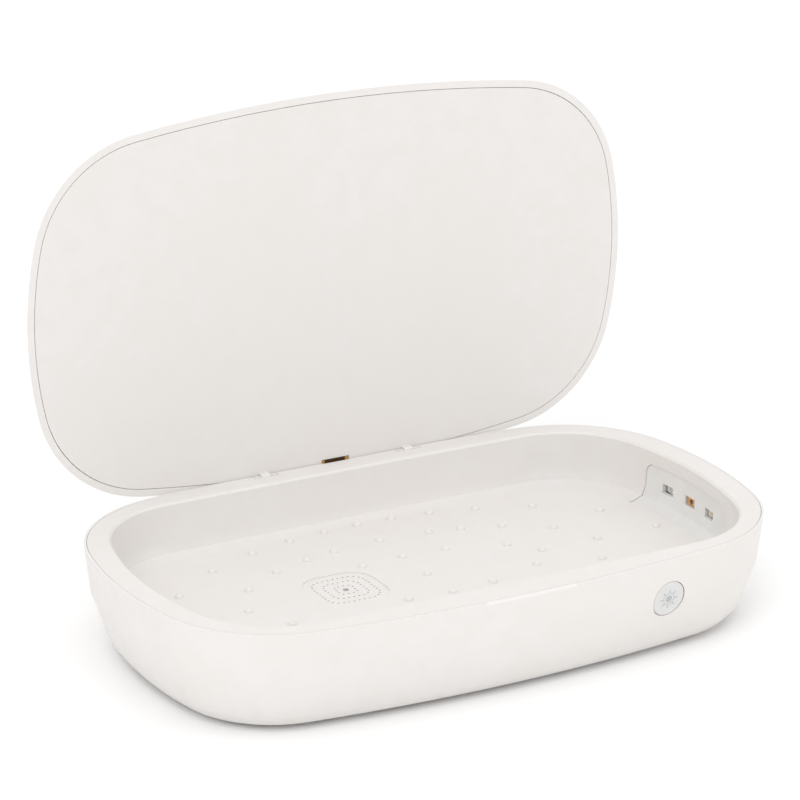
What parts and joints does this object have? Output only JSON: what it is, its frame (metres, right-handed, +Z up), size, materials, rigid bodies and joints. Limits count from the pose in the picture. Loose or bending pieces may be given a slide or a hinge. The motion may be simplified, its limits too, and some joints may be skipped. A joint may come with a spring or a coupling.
{
  "type": "toothbrush sanitizer",
  "caption": "Low rounded box with an open hinged lid, a dimpled well with a vent grille, a grey lamp window at one end and a round push button on the front.",
  "frame": {"origin": "centre of the base on the plane its four feet rest on", "axes": "+X along the length towards the lamp window, +Y towards the hinge, +Z up"},
  "size_m": [0.22, 0.1387, 0.1634],
  "materials": {
    "shell_white": "fine matt moulding, warm white",
    "tray_white": "fine matt moulding, warm white",
    "lid_white": "fine matt moulding, warm white",
    "window_grey": "satin light grey",
    "button_grey": "satin pale grey",
    "icon_grey": "printed grey",
    "foot_rubber": "soft matt",
    "steel": "zinc plated",
    "board_green": "solder mask",
    "board_white": "white solder mask on aluminium",
    "lamp_ceramic": "white ceramic with quartz window",
    "lamp_amber": "amber resin",
    "black_parts": "moulded epoxy",
    "socket_white": "nylon",
    "flex_amber": "polyimide film with gilt edge",
    "pad_felt": "felt",
    "magnet_nickel": "nickel plated",
    "ferrite_grey": "sintered ferrite",
    "coil_copper": "enamelled copper winding"
  },
  "bodies": {
    "base": {"base_shell": "shell_white", "bottom_cover": "shell_white", "inner_tray": "tray_white", "vent_grille": "tray_white", "hinge_brackets": "tray_white", "hinge_pins": "steel", "lamp_window_cover": "window_grey", "rubber_feet": "foot_rubber", "bottom_screws": "steel", "board_screws": "steel", "main_board": "board_green", "button_board": "board_green", "lamp_board": "board_white", "uvc_led_front": "lamp_ceramic", "uvc_led_rear": "lamp_ceramic", "centre_led": "lamp_amber", "usb_c_socket": "steel", "control_chip": "black_parts", "boost_inductor": "black_parts", "board_connector": "socket_white", "capacitors": "black_parts", "tact_switch": "steel", "lid_sensor": "black_parts", "flex_cable": "flex_amber", "aroma_pad": "pad_felt", "pad_holder": "tray_white"},
    "lid": {"lid_shell": "lid_white", "lid_inner_panel": "lid_white", "lid_magnet": "magnet_nickel", "coil_ferrite": "ferrite_grey", "charging_coil": "coil_copper", "flex_tail": "flex_amber"},
    "button": {"button_cap": "button_grey", "button_icon": "icon_grey"}
  },
  "joints": [
    {"name": "lid_hinge", "type": "hinge", "parent": "base", "child": "lid", "pos_m": [0, 0.0622, 0.0352], "axis": [1, 0, 0], "range_deg": [0, 90]},
    {"name": "button_press", "type": "slide", "parent": "base", "child": "button", "axis": [-0.0978, 0.9749, 0.2], "range_m": [0, 0.0005], "stiffness_N_per_m": 1500}
  ]
}
